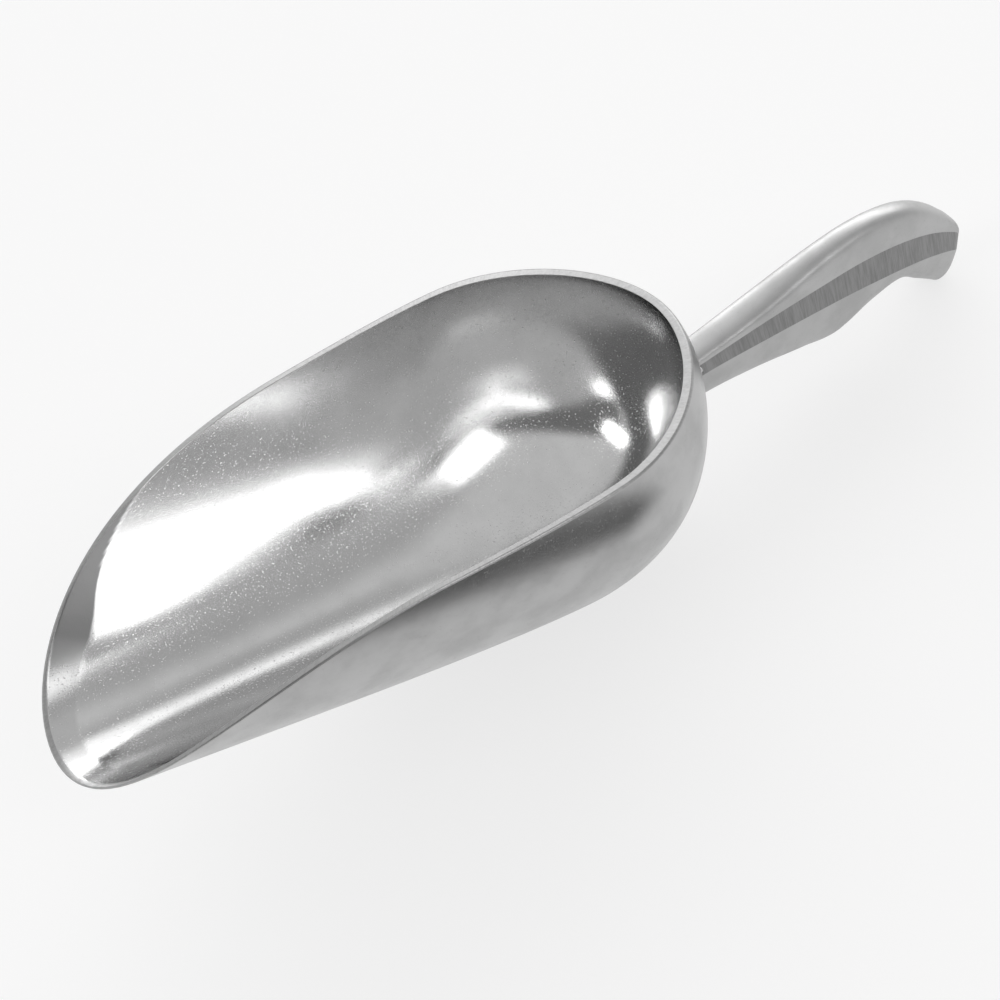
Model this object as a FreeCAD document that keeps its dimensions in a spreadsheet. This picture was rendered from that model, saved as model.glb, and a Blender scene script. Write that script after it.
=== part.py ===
import FreeCAD, Part
import math
import os

import Sketcher
from FreeCAD import Placement, Rotation, Vector

# A cast aluminium bulk scoop of about one litre: a thin bowl cut off obliquely,
# a solid contoured handle and the weld bead that joins them.
# The bowl is drawn along +X, with its lip at x = 0, its floor on z = 0 and the
# handle at +X. The finished pieces are then tipped back until the bowl's heel and
# the butt of the handle both touch the table, which is how the scoop rests, with
# the origin under the middle of its box.

X_AXIS = Vector(1, 0, 0)
Y_AXIS = Vector(0, 1, 0)

# Millimetres, degrees and plain ratios
SIZES = {
    # bowl, outside
    "bowl_length": 210,
    "bowl_half_width": 54.4,
    "lip_half_width": 41,
    "bowl_half_depth": 61.5,
    "side_straight": 152,
    "side_knee": 0.1,
    "side_roundness": 2,
    "floor_straight": 52,
    "floor_roundness": 3,
    "wall_at_lip": 1.8,
    "wall_at_back": 2.4,
    # rim, seen from the side: an arc up from the lip, a straight, an arc at the back
    "lip_angle": 60,
    "lip_arc_radius": 147,
    "rim_slope": 12.3,
    "back_arc_start": 172,
    "back_arc_radius": 446,
    # handle sections, from the bowl to the butt: how far behind the bowl's back, then
    # heights above the bowl's middle
    "root_run": -12,
    "root_top": 2.5,
    "root_ridge": 0,
    "root_parting": -3,
    "root_bottom": -16.8,
    "throat_run": 11,
    "throat_top": 11.5,
    "throat_ridge": 8.9,
    "throat_parting": 4.5,
    "throat_bottom": -8.4,
    "grip_run": 32,
    "grip_top": 21.3,
    "grip_ridge": 16.7,
    "grip_parting": 9.5,
    "grip_bottom": -5,
    "palm_run": 52,
    "palm_top": 31.6,
    "palm_ridge": 22.5,
    "palm_parting": 13.1,
    "palm_bottom": -4.3,
    "swell_run": 67,
    "swell_top": 37.2,
    "swell_ridge": 26.5,
    "swell_parting": 15.5,
    "swell_bottom": -2.8,
    "hook_run": 78,
    "hook_top": 39,
    "hook_ridge": 28.3,
    "hook_parting": 16.9,
    "hook_bottom": 6,
    "notch_run": 89,
    "notch_top": 38.4,
    "notch_ridge": 28.9,
    "notch_parting": 18.1,
    "notch_bottom": 11.8,
    "heel_run": 99,
    "heel_top": 35,
    "heel_ridge": 28.1,
    "heel_parting": 18.7,
    "heel_bottom": 8,
    "butt_run": 110,
    "butt_top": 28.4,
    "butt_ridge": 25,
    "butt_parting": 18,
    "butt_bottom": 3.1,
    "root_half_width": 6.2,
    "throat_half_width": 6.8,
    "grip_half_width": 7.5,
    "butt_half_width": 7.3,
    "butt_round": 6,
    "butt_crown_fall": 2.5,
    "butt_crown_round": 8,
    "butt_belly_round": 7.5,
    "butt_side_round": 5.5,
    "ridge_share": 0.82,
    "crown_fullness": 0.75,
    "belly_fullness": 0.8,
    # weld bead round the root of the handle
    "weld_leg_on_bowl": 2.4,
    "weld_leg_on_handle": 4.5,
    "weld_toe": 0.3,
    # reach of the cutting tools past the bowl
    "cut_margin": 40,
}

# The bowl's section planes, as shares of its length, closer where its back rounds
BOWL_STATIONS = (
    (-0.06, 0.03, 0.12, 0.21, 0.3, 0.39, 0.48, 0.56, 0.64, 0.71)
    + (0.77, 0.83, 0.88, 0.92, 0.95, 0.972, 0.987, 0.996, 0.9994)
)

# The handle's named sections, from the bowl to the butt
GRIP_STATIONS = ("root", "throat", "grip", "palm", "swell", "hook", "notch", "heel", "butt")

# How far the butt's rounding has turned in at its sections, in degrees
BUTT_TURNS = (30, 60, 80, 89)


def make_sizes(document):
    """The driving dimensions, one row each with its name as alias."""
    sheet = document.addObject("Spreadsheet::Sheet", "Sizes")
    for row, (name, value) in enumerate(SIZES.items(), start=1):
        sheet.set(f"A{row}", name)
        sheet.set(f"B{row}", str(value))
        sheet.setAlias(f"B{row}", name)
    return sheet


def side_curve(straight, power, place):
    """Expression for the rounding of the bowl's back, 1 where it is straight."""
    share = f"max(0; ({place} - {straight}) / (Sizes.bowl_length - {straight}))"
    return f"pow(1 - pow({share}; {power}); 1 / {power})"


def bowl_section(document, name, unit_circle, station, inside):
    """One ellipse across the bowl, on its outer or its inner face."""
    place = f"Sizes.bowl_length * {station}"
    wall = f"(Sizes.wall_at_lip + (Sizes.wall_at_back - Sizes.wall_at_lip) * {station})"
    run = f"{place} / Sizes.side_straight"
    taper = f"(1 + {run} - hypot(1 - {run}; Sizes.side_knee)) / 2"
    half_width = (
        "(Sizes.lip_half_width + (Sizes.bowl_half_width - Sizes.lip_half_width)"
        f" * {taper})"
    )
    half_depth = "Sizes.bowl_half_depth"
    plan = side_curve("Sizes.side_straight", "Sizes.side_roundness", place)
    profile = side_curve("Sizes.floor_straight", "Sizes.floor_roundness", place)
    if inside:
        half_width, half_depth = f"({half_width} - {wall})", f"({half_depth} - {wall})"
        place = f"(Sizes.bowl_length - Sizes.wall_at_back) * {station}"

    ellipse = document.addObject("Part::Scale", name)
    ellipse.Base = unit_circle
    ellipse.Uniform = False
    ellipse.setExpression("XScale", f"{half_depth} * {profile}")
    ellipse.setExpression("YScale", f"{half_width} * {plan}")
    # turned so that it faces along the bowl
    ellipse.Placement = Placement(Vector(), Rotation(Y_AXIS, -90))
    ellipse.setExpression("Placement.Base.x", place)
    ellipse.setExpression("Placement.Base.z", "Sizes.bowl_half_depth")
    return ellipse


def bowl_body(document, name, unit_circle, inside):
    """The whole bowl as a solid, before it is hollowed and cut off."""
    loft = document.addObject("Part::Loft", name)
    loft.Sections = [
        bowl_section(document, f"{name}_section_{number}", unit_circle, station, inside)
        for number, station in enumerate(BOWL_STATIONS)
    ]
    loft.Solid = True
    loft.Ruled = False
    return loft


def add_constraint(sketch, name, constraint, expression):
    """A dimension of the sketch, bound to the sheet."""
    index = sketch.addConstraint(constraint)
    sketch.renameConstraint(index, name)
    sketch.setExpression(f"Constraints.{name}", expression)


def rim_outline(document):
    """The side view of all that is cut away above and ahead of the rim."""
    lip, slope = math.radians(SIZES["lip_angle"]), math.radians(SIZES["rim_slope"])
    front, back = SIZES["lip_arc_radius"], SIZES["back_arc_radius"]
    margin = SIZES["cut_margin"]
    above, behind = 2 * SIZES["bowl_half_depth"] + margin, SIZES["bowl_length"] + margin
    front_centre = Vector(front * math.sin(lip), -front * math.cos(lip))
    first = front_centre + Vector(-front * math.sin(slope), front * math.cos(slope))
    run = SIZES["back_arc_start"] - first.x
    second = first + Vector(run, run * math.tan(slope))
    back_centre = second + Vector(-back * math.sin(slope), back * math.cos(slope))
    back_end = math.asin((behind - back_centre.x) / back) - math.pi / 2
    third = back_centre + Vector(back * math.cos(back_end), back * math.sin(back_end))
    low = Vector(-margin, -margin * math.tan(lip))

    up = Vector(0, 0, 1)
    sketch = document.addObject("Sketcher::SketchObject", "rim_outline")
    sketch.Placement = Placement(Vector(), Rotation(X_AXIS, 90))
    sketch.addGeometry(Part.LineSegment(low, Vector()))
    front_circle = Part.Circle(front_centre, up, front)
    sketch.addGeometry(Part.ArcOfCircle(front_circle, math.pi / 2 + slope, math.pi / 2 + lip))
    sketch.addGeometry(Part.LineSegment(first, second))
    back_circle = Part.Circle(back_centre, up, back)
    sketch.addGeometry(Part.ArcOfCircle(back_circle, slope - math.pi / 2, back_end))
    sketch.addGeometry(Part.LineSegment(third, Vector(behind, above)))
    sketch.addGeometry(Part.LineSegment(Vector(behind, above), Vector(-margin, above)))
    sketch.addGeometry(Part.LineSegment(Vector(-margin, above), low))

    lead, front_arc, straight, back_arc, rear, top, nose = range(7)
    start, end, origin = 1, 2, -1
    sketch.addConstraint(
        [
            Sketcher.Constraint("Coincident", lead, end, origin, start),
            Sketcher.Constraint("Tangent", lead, end, front_arc, end),
            Sketcher.Constraint("Tangent", front_arc, start, straight, start),
            Sketcher.Constraint("Tangent", straight, end, back_arc, start),
            Sketcher.Constraint("Coincident", back_arc, end, rear, start),
            Sketcher.Constraint("Coincident", rear, end, top, start),
            Sketcher.Constraint("Coincident", top, end, nose, start),
            Sketcher.Constraint("Coincident", nose, end, lead, start),
            Sketcher.Constraint("Vertical", rear),
            Sketcher.Constraint("Horizontal", top),
            Sketcher.Constraint("Vertical", nose),
        ]
    )
    bind = [
        ("lip_rise", Sketcher.Constraint("Angle", lead, lip), "Sizes.lip_angle * 1 deg"),
        ("slope", Sketcher.Constraint("Angle", straight, slope), "Sizes.rim_slope * 1 deg"),
        ("front_radius", Sketcher.Constraint("Radius", front_arc, front), "Sizes.lip_arc_radius"),
        ("back_radius", Sketcher.Constraint("Radius", back_arc, back), "Sizes.back_arc_radius"),
        (
            "back_start",
            Sketcher.Constraint("DistanceX", origin, start, straight, end, second.x),
            "Sizes.back_arc_start",
        ),
        (
            "behind",
            Sketcher.Constraint("DistanceX", origin, start, rear, start, behind),
            "Sizes.bowl_length + Sizes.cut_margin",
        ),
        (
            "above",
            Sketcher.Constraint("DistanceY", origin, start, rear, end, above),
            "2 * Sizes.bowl_half_depth + Sizes.cut_margin",
        ),
        (
            "ahead",
            Sketcher.Constraint("DistanceX", nose, end, origin, start, margin),
            "Sizes.cut_margin",
        ),
    ]
    for name, constraint, expression in bind:
        add_constraint(sketch, name, constraint, expression)
    return sketch


def make_bowl(document, outside, inside):
    """The thin cast bowl: its body hollowed, then cut off along the rim."""
    cutter = document.addObject("Part::Extrusion", "rim_cutter")
    cutter.Base = rim_outline(document)
    cutter.DirMode = "Custom"
    cutter.Dir = Y_AXIS
    cutter.Solid = True
    cutter.Symmetric = True
    cutter.setExpression("LengthFwd", "2 * (Sizes.bowl_half_width + Sizes.cut_margin)")
    hollow = cut(document, "bowl_hollow", outside, inside)
    return cut(document, "bowl", hollow, cutter)


class GripSection:
    """The handle's cross-section at one place: crown, two ground flats and belly."""

    def __init__(self, place, top, ridge, parting, bottom, half_width):
        self.place = place
        self.top = top
        self.ridge = ridge
        self.parting = parting
        self.bottom = bottom
        self.half_width = half_width

    @classmethod
    def named(cls, sheet, station):
        own_width = f"{station}_half_width"
        width_name = own_width if own_width in SIZES else "grip_half_width"
        place = sheet.bowl_length + getattr(sheet, f"{station}_run")
        heights = [sheet.bowl_half_depth + getattr(sheet, f"{station}_{part}") for part in HEIGHTS]
        return cls(place, *heights, getattr(sheet, width_name))

    def between(self, other, share):
        """The section that lies a share of the way to another one."""
        names = ("place", *HEIGHTS, "half_width")
        pairs = [(getattr(self, name), getattr(other, name)) for name in names]
        return GripSection(*(low + (high - low) * share for low, high in pairs))

    def grown(self, by, place):
        """The section at another place, larger all round by the given distance."""
        middle = (self.top + self.bottom) / 2
        stretch = 1 + by / (self.top - middle)
        heights = [middle + (getattr(self, part) - middle) * stretch for part in HEIGHTS]
        return GripSection(place, *heights, self.half_width + by)

    def closed_in(self, sheet, turn):
        """The butt's section at one turn of its rounding, 0 where the rounding starts."""
        closing = 1 - math.cos(turn)
        top = self.top - sheet.butt_crown_fall * math.sin(turn) - sheet.butt_crown_round * closing
        bottom = self.bottom + sheet.butt_belly_round * closing
        shrink = (top - bottom) / (self.top - self.bottom)
        ridge = bottom + (self.ridge - self.bottom) * shrink
        parting = bottom + (self.parting - self.bottom) * shrink
        place = self.place + sheet.butt_round * math.sin(turn)
        half_width = self.half_width - sheet.butt_side_round * closing
        return GripSection(place, top, ridge, parting, bottom, half_width)

    def wire(self, sheet):
        """Two quarter curves over the crown, a flat each side, two under the belly."""
        wide = self.half_width
        narrow = wide * sheet.ridge_share
        crown, belly = sheet.crown_fullness, sheet.belly_fullness
        edges = []
        for side in (1, -1):
            top, bottom = self.point(0, self.top), self.point(0, self.bottom)
            ridge, parting = self.point(side * narrow, self.ridge), self.point(side * wide, self.parting)
            over = [
                top,
                self.point(side * narrow * crown, self.top),
                self.point(side * narrow, self.ridge + (self.top - self.ridge) * crown),
                ridge,
            ]
            under = [
                parting,
                self.point(side * wide, self.parting - (self.parting - self.bottom) * belly),
                self.point(side * wide * belly, self.bottom),
                bottom,
            ]
            run = [bezier(over), Part.LineSegment(ridge, parting).toShape(), bezier(under)]
            edges += run if side > 0 else run[::-1]
        return Part.Wire(edges)

    def point(self, across, height):
        return Vector(self.place, across, height)


HEIGHTS = ("top", "ridge", "parting", "bottom")


def bezier(points):
    curve = Part.BezierCurve()
    curve.setPoles(points)
    return curve.toShape()


def smooth_loft(wires):
    """A solid through the wires; the low degree keeps it from waving between them."""
    solid, ruled, closed, degree = True, False, False, 3
    return Part.makeLoft(wires, solid, ruled, closed, degree)


def grip_solid(sheet):
    """The handle as one loft through its sections, with a rounded butt."""
    sections = [GripSection.named(sheet, station) for station in GRIP_STATIONS]
    butt = sections[-1]
    sections += [butt.closed_in(sheet, math.radians(turn)) for turn in BUTT_TURNS]
    return smooth_loft([section.wire(sheet) for section in sections])


def bead_solid(sheet):
    """The weld bead as a plain collar, which slopes from the bowl's wall to the handle."""
    root, throat = GripSection.named(sheet, "root"), GripSection.named(sheet, "throat")
    run = throat.place - root.place
    leg = sheet.weld_leg_on_handle
    wires = []
    for place, reach in ((-leg, "weld_leg_on_bowl"), (0, "weld_leg_on_bowl"), (leg, "weld_toe")):
        place += sheet.bowl_length
        section = root.between(throat, (place - root.place) / run)
        wires.append(section.grown(getattr(sheet, reach), place).wire(sheet))
    solid, ruled = True, True
    return Part.makeLoft(wires, solid, ruled)


def shape_object(document, name, shape):
    feature = document.addObject("Part::Feature", name)
    feature.Shape = shape
    return feature


def cut(document, name, base, tool):
    result = document.addObject("Part::Cut", name)
    result.Base, result.Tool = base, tool
    result.Refine = False
    return result


def resting_place(bowl, handle):
    """Tips the scoop back until bowl and butt touch one plane, and centres it."""

    def corners(piece, tip):
        return [tip.multVec(point) for point in outlines[piece]]

    def lead(pitch):
        tip = Rotation(Y_AXIS, pitch)
        return min(p.z for p in corners(bowl, tip)) - min(p.z for p in corners(handle, tip))

    tolerance = 0.05
    outlines = {piece: piece.Shape.tessellate(tolerance)[0] for piece in (bowl, handle)}
    level, steep = 0, 60
    while steep - level > tolerance / 10:
        middle = (level + steep) / 2
        if lead(middle) < 0:
            level = middle
        else:
            steep = middle
    tip = Rotation(Y_AXIS, level)
    points = corners(bowl, tip) + corners(handle, tip)
    centre = (min(p.x for p in points) + max(p.x for p in points)) / 2
    return Placement(Vector(-centre, 0, -min(p.z for p in points)), tip)


def check(document, pieces):
    """Stops the build if anything failed to compute."""
    for item in document.Objects:
        if any(state in item.State for state in ("Invalid", "Error")):
            raise RuntimeError(f"{item.Name} is {item.State}")
    for piece in pieces:
        if piece.Shape.isNull() or not piece.Shape.isValid() or not piece.Shape.Solids:
            raise RuntimeError(f"{piece.Label} has no valid solid")


def main():
    document = FreeCAD.newDocument("bulk_scoop")
    sheet = make_sizes(document)
    document.recompute()

    unit_circle = document.addObject("Part::Circle", "unit_circle")
    unit_circle.Radius = 1
    outside = bowl_body(document, "bowl_outside", unit_circle, False)
    inside = bowl_body(document, "bowl_inside", unit_circle, True)
    bowl = make_bowl(document, outside, inside)
    grip = shape_object(document, "grip_casting", grip_solid(sheet))
    handle = cut(document, "handle", grip, outside)
    collar = shape_object(document, "bead_collar", bead_solid(sheet))
    ring = cut(document, "bead_ring", collar, grip)
    weld = cut(document, "neck_weld", ring, outside)
    document.recompute()

    pieces = [bowl, handle, weld]
    check(document, pieces)
    place = resting_place(bowl, handle)
    for piece in pieces:
        piece.Label = piece.Name
        piece.Placement = place
    document.recompute()
    check(document, pieces)

    os.makedirs("parts", exist_ok=True)
    for piece in pieces:
        piece.Shape.exportStep(f"parts/{piece.Label}.step")
        box = piece.Shape.BoundBox
        print(piece.Label, len(piece.Shape.Solids), round(piece.Shape.Volume / 1000, 2), box)


main()
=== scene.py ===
"""The bulk scoop dressed for a studio photograph.

A thin cast aluminium bowl, its solid contoured handle and the weld bead between
them are modelled in millimetres, with the bowl level, its lip at x = 0 and its
floor on z = 0. Each finished mesh is then tipped into the pose in which the
scoop rests and brought to metres.
"""

import logging
import math
from dataclasses import dataclass, field
from enum import Enum

import bmesh
import bpy
from bmesh.types import BMesh, BMFace, BMLayerItem, BMVert
from bpy.types import Material, Node, NodeSocket, NodeTree, Object
from mathutils import Matrix, Vector


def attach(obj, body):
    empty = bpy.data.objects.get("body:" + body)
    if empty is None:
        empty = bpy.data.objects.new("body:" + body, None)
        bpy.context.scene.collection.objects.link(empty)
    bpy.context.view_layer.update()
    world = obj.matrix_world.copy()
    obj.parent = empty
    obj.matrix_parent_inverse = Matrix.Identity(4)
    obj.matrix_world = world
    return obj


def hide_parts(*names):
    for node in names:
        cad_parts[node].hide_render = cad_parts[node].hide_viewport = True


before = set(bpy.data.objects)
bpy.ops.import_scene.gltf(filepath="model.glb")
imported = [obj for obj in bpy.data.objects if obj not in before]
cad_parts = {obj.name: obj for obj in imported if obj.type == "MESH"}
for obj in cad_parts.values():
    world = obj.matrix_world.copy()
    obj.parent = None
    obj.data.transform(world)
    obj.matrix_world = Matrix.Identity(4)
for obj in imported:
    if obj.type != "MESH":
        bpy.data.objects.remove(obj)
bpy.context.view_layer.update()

MM = 0.001
TURN = 2 * math.pi
TINY = 1e-9
HALVINGS = 22
ARC_MIDDLE = math.sqrt(0.5)
THINNED = "thinned"

log = logging.getLogger("bulk_scoop")


class Surface(Enum):
    """The face groups of a casting, in the order of its material slots."""

    INSIDE = 0
    OUTSIDE = 1
    GROUND = 2


@dataclass(frozen=True)
class RestPose:
    """How the level scoop is tipped and shifted to rest on bowl and butt.

    Args:
        pitch: turn about +Y that lowers the handle, in degrees.
        shift: place of the lip's tip after the turn, in millimetres.
    """

    pitch: float = 19.9146
    shift: tuple[float, float, float] = (-167.1655, 0.0, 48.5148)

    def matrix(self) -> Matrix:
        """The move from the level bowl in millimetres to the row's frame in metres."""
        tip = Matrix.Rotation(math.radians(self.pitch), 4, "Y")
        return Matrix.Scale(MM, 4) @ Matrix.Translation(self.shift) @ tip


@dataclass(frozen=True)
class BowlForm:
    """The bowl's outer and inner faces and its rim, as formulas.

    Each cross-section is an ellipse about the bowl's middle line. The rim, seen
    from the side, is an arc up from the lip, a straight and a long hollow arc.
    """

    length: float = 210.0
    half_width: float = 54.4
    lip_half_width: float = 41.0
    half_depth: float = 61.5
    side_straight: float = 152.0
    side_knee: float = 0.1
    side_roundness: float = 2.0
    floor_straight: float = 52.0
    floor_roundness: float = 3.0
    wall_at_lip: float = 1.8
    wall_at_back: float = 2.4
    lip_angle: float = 60.0
    lip_arc_radius: float = 147.0
    rim_slope: float = 12.3
    back_arc_start: float = 172.0
    back_arc_radius: float = 446.0

    def rounding(self, place: float, straight: float, power: float) -> float:
        """What the back's rounding leaves of a half size at one place, from 1 down to 0."""
        share = max(0.0, (place - straight) / (self.length - straight))
        return max(0.0, 1.0 - share**power) ** (1.0 / power)

    def radii(self, place: float, inside: bool) -> tuple[float, float]:
        """Half width and half depth of one cross-section.

        Args:
            place: distance from the lip.
            inside: whether the inner face is meant.

        Returns:
            Half width and half depth in millimetres.
        """
        share = place / (self.length - (self.wall_at_back if inside else 0.0))
        outer_place = self.length * share
        run = outer_place / self.side_straight
        taper = (1.0 + run - math.hypot(1.0 - run, self.side_knee)) / 2.0
        wide = self.lip_half_width + (self.half_width - self.lip_half_width) * taper
        deep = self.half_depth
        if inside:
            wall = self.wall_at_lip + (self.wall_at_back - self.wall_at_lip) * share
            wide, deep = wide - wall, deep - wall
        wide *= self.rounding(outer_place, self.side_straight, self.side_roundness)
        deep *= self.rounding(outer_place, self.floor_straight, self.floor_roundness)
        return max(wide, TINY), max(deep, TINY)

    def outside_of(self, point: Vector, inside: bool) -> bool:
        """Whether a point lies beyond the inner face, or else beyond the outer one."""
        wide, deep = self.radii(point.x, inside)
        return math.hypot(point.y / wide, (point.z - self.half_depth) / deep) > 1.0

    def rim_height(self, place: float) -> float:
        """Height of the cut edge above the floor, seen from the side.

        Args:
            place: distance from the lip.

        Returns:
            The height in millimetres.
        """
        lip, slope = math.radians(self.lip_angle), math.radians(self.rim_slope)
        front = self.lip_arc_radius
        front_x, front_z = front * math.sin(lip), -front * math.cos(lip)
        first_x = front_x - front * math.sin(slope)
        first_z = front_z + front * math.cos(slope)
        if place < 0.0:
            return place * math.tan(lip)
        if place < first_x:
            return front_z + math.sqrt(front**2 - (place - front_x) ** 2)
        if place < self.back_arc_start:
            return first_z + (place - first_x) * math.tan(slope)
        second_z = first_z + (self.back_arc_start - first_x) * math.tan(slope)
        back = self.back_arc_radius
        back_x = self.back_arc_start - back * math.sin(slope)
        back_z = second_z + back * math.cos(slope)
        return back_z - math.sqrt(back**2 - (place - back_x) ** 2)

    def reach(self, start: Vector, way: Vector, far: float, inside: bool, on_rim: bool = False) -> Vector:
        """The point where a way from within the bowl meets a face.

        Args:
            start: where the way starts.
            way: its direction, of length 1.
            far: a distance that lies beyond the face.
            inside: whether the inner face is meant.
            on_rim: whether the way is level and the point is moved up or down to the rim.

        Returns:
            The point on the face.
        """
        near = 0.0
        for _ in range(HALVINGS):
            middle = (near + far) / 2.0
            point = start + way * middle
            if on_rim:
                point.z = self.rim_height(point.x)
            if self.outside_of(point, inside):
                far = middle
            else:
                near = middle
        return point


@dataclass
class Bowl:
    """The thin-walled bowl with its ground rim, whose lip is thinned from within.

    Args:
        centre_place: distance from the lip to the centre from which the faces are cast.
        around: faces round the rim.
        rings: rows of faces from the middle of the floor to the rim.
        edge_rings: how many of them lie in the strip next to the rim.
        edge_strip: least width of that strip.
        outer_round: how much the rim's outer edge is rounded.
        most_round: greatest share of the rim that one edge's rounding takes.
        thin_end: distance from the lip at which the rim has its full thickness.
        thin_run: run over which the thinned strip reaches its full width.
        thin_growth: how slowly it widens at first.
        tip_run: length of the lip's tip, over which it narrows again.
        tip_share: share of its width and of its dullness that is left at the tip.
        dull_blur: width of its soft border.
        rim_far: a distance from the centre that lies beyond the rim.
        face_far: a distance from the centre that lies beyond every face.
    """

    form: BowlForm
    pose: RestPose
    centre_place: float = 115.0
    around: int = 288
    rings: int = 116
    edge_rings: int = 16
    edge_strip: float = 5.0
    outer_round: float = 0.6
    inner_round: float = 0.15
    thin_end: float = 54.0
    thin_run: float = 35.0
    thin_width: float = 8.0
    thin_depth: float = 1.2
    thin_growth: float = 1.4
    tip_run: float = 14.0
    tip_share: float = 0.4
    lip_thickness: float = 0.5
    most_round: float = 0.3
    dull_blur: float = 0.6
    rim_far: float = 200.0
    face_far: float = 220.0
    name: str = "bowl_casting"
    rim_points: dict[tuple[int, bool], Vector] = field(default_factory=dict)

    def centre(self) -> Vector:
        """The point within the bowl from which its faces are cast."""
        return Vector((self.centre_place, 0.0, self.form.half_depth))

    def rim_point(self, step: int, inside: bool) -> Vector:
        """The rim's outer or inner edge at one step round it.

        Args:
            step: step round the rim, from 0 at the handle.
            inside: whether the inner edge is meant.

        Returns:
            The point.
        """
        key = (step % self.around, inside)
        if key not in self.rim_points:
            angle = TURN * key[0] / self.around
            way = Vector((math.cos(angle), math.sin(angle), 0.0))
            point = self.form.reach(self.centre(), way, self.rim_far, inside, on_rim=True)
            if inside:
                outer = self.rim_point(step, False)
                point = point.lerp(outer, self.thinning(point.x, 0.0, (outer - point).length))
            self.rim_points[key] = point
        return self.rim_points[key]

    def grown(self, place: float) -> float:
        """How far the thinning has grown at one place of the rim, from 0 to 1."""
        return min(1.0, max(0.0, (self.thin_end - place) / self.thin_run)) ** self.thin_growth

    def off_tip(self, place: float) -> float:
        """What is left of the strip's width and dullness at the lip's tip, up to 1 beside it."""
        return self.tip_share + (1.0 - self.tip_share) * min(1.0, max(0.0, place / self.tip_run))

    def strip_width(self, place: float) -> float:
        """Width of the thinned strip behind the lip's edge, 0 where the rim is thick."""
        return self.thin_width * self.grown(place) * self.off_tip(place)

    def thinning(self, place: float, depth: float, wall: float) -> float:
        """How much of the wall is ground away from within.

        Args:
            place: distance of the rim from the lip's tip.
            depth: distance below the rim.
            wall: thickness of the full wall.

        Returns:
            The share of the wall.
        """
        width = self.strip_width(place)
        if depth >= width:
            return 0.0
        most = min(wall - self.lip_thickness, self.thin_depth * self.grown(place))
        return most * (1.0 - depth / width) / wall

    def depth_at(self, place: float, length: float, share: float, inside: bool) -> float:
        """How far below the rim a row of points lies, with close rows near the rim.

        Args:
            place: distance of the rim from the lip's tip.
            length: distance from the rim down to the middle of the floor.
            share: 0 at the middle of the floor, 1 where the rim's edge is rounded.
            inside: whether the inner face is meant.

        Returns:
            The depth in millimetres.
        """
        strip = max(self.strip_width(place), self.edge_strip)
        edge = 1.0 - self.edge_rings / self.rings
        if share < edge:
            return length - (length - strip) * share / edge
        rounding = self.inner_round if inside else self.outer_round
        return rounding + (strip - rounding) * (1.0 - share) / (1.0 - edge)

    def cast(self, step: int, share: float, inside: bool) -> Vector:
        """A point of the bowl's face between the floor's middle and the rim.

        Args:
            step: step round the rim.
            share: 0 at the middle of the floor, 1 where the rim's edge is rounded.
            inside: whether the inner face is meant.

        Returns:
            The point on the face.
        """
        rim = self.rim_point(step, inside)
        down = Vector((0.0, 0.0, -1.0))
        up = rim - self.centre()
        length = down.angle(up) * up.length
        depth = self.depth_at(rim.x, length, share, inside)
        way = down.slerp(up.normalized(), 1.0 - depth / length)
        point = self.form.reach(self.centre(), way, self.face_far, inside)
        if inside and depth < self.strip_width(rim.x):
            outer = self.form.reach(self.centre(), way, self.face_far, False)
            point = point.lerp(outer, self.thinning(rim.x, depth, (outer - point).length))
        return point

    def rim_row(self, step: int, inside: bool, turned: bool) -> Vector:
        """A point of the rim's rounded edge.

        Args:
            step: step round the rim.
            inside: whether the inner edge is meant.
            turned: whether it is the rounding's end on the rim, or else its middle.

        Returns:
            The point.
        """
        here, there = self.rim_point(step, inside), self.rim_point(step, not inside)
        rounding = self.inner_round if inside else self.outer_round
        on_rim = here.lerp(there, min(self.most_round, rounding / (there - here).length))
        if turned:
            return on_rim
        centre = self.cast(step, 1.0, inside) + on_rim - here
        return centre.lerp(here, ARC_MIDDLE)

    def build(self) -> Object:
        """Builds the bowl where it rests, from a ball whose top half is pushed in."""
        on_rim, over_rim = self.rings + 2, self.rings + 3
        levels = on_rim + over_rim
        bm = bmesh.new()
        bmesh.ops.create_uvsphere(bm, u_segments=self.around, v_segments=levels, radius=1.0)
        uv = bm.loops.layers.uv.new("rim")
        thinned = bm.verts.layers.float.new(THINNED)
        places = {vert: ball_place(vert, self.around, levels) for vert in bm.verts}
        for vert, (row, step) in places.items():
            inside = row >= over_rim
            height = min(row, levels - row)
            if height > self.rings:
                vert.co = self.rim_row(step, inside, height == on_rim)
                continue
            share = height / self.rings
            vert.co = self.cast(step, share, inside)
            if inside:
                vert[thinned] = self.dullness(self.rim_point(step, True).x, share)
        for face in bm.faces:
            rows = {places[vert][0] for vert in face.verts}
            if max(rows) <= self.rings:
                face.material_index = Surface.OUTSIDE.value
            elif min(rows) >= levels - self.rings:
                face.material_index = Surface.INSIDE.value
            else:
                face.material_index = Surface.GROUND.value
                self.unroll(face, uv)
        for edge in bm.edges:
            edge.smooth = {places[vert][0] for vert in edge.verts} not in ({on_rim}, {over_rim})
        return finished(bm, self.name, self.pose.matrix())

    def dullness(self, place: float, share: float) -> float:
        """How dull the inner face is where the lip was ground thin; the same share darkens it there with
        painted shade.

        Args:
            place: distance of the rim from the lip's tip.
            share: the row's place, 1 where the rim's edge is rounded.

        Returns:
            The dullness, from 0 to 1.
        """
        if share < 1.0 - self.edge_rings / self.rings:
            return 0.0
        below = self.strip_width(place) - self.depth_at(place, 0.0, share, True)
        return min(1.0, max(0.0, below / self.dull_blur + 0.5)) * self.off_tip(place) ** 2

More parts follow.
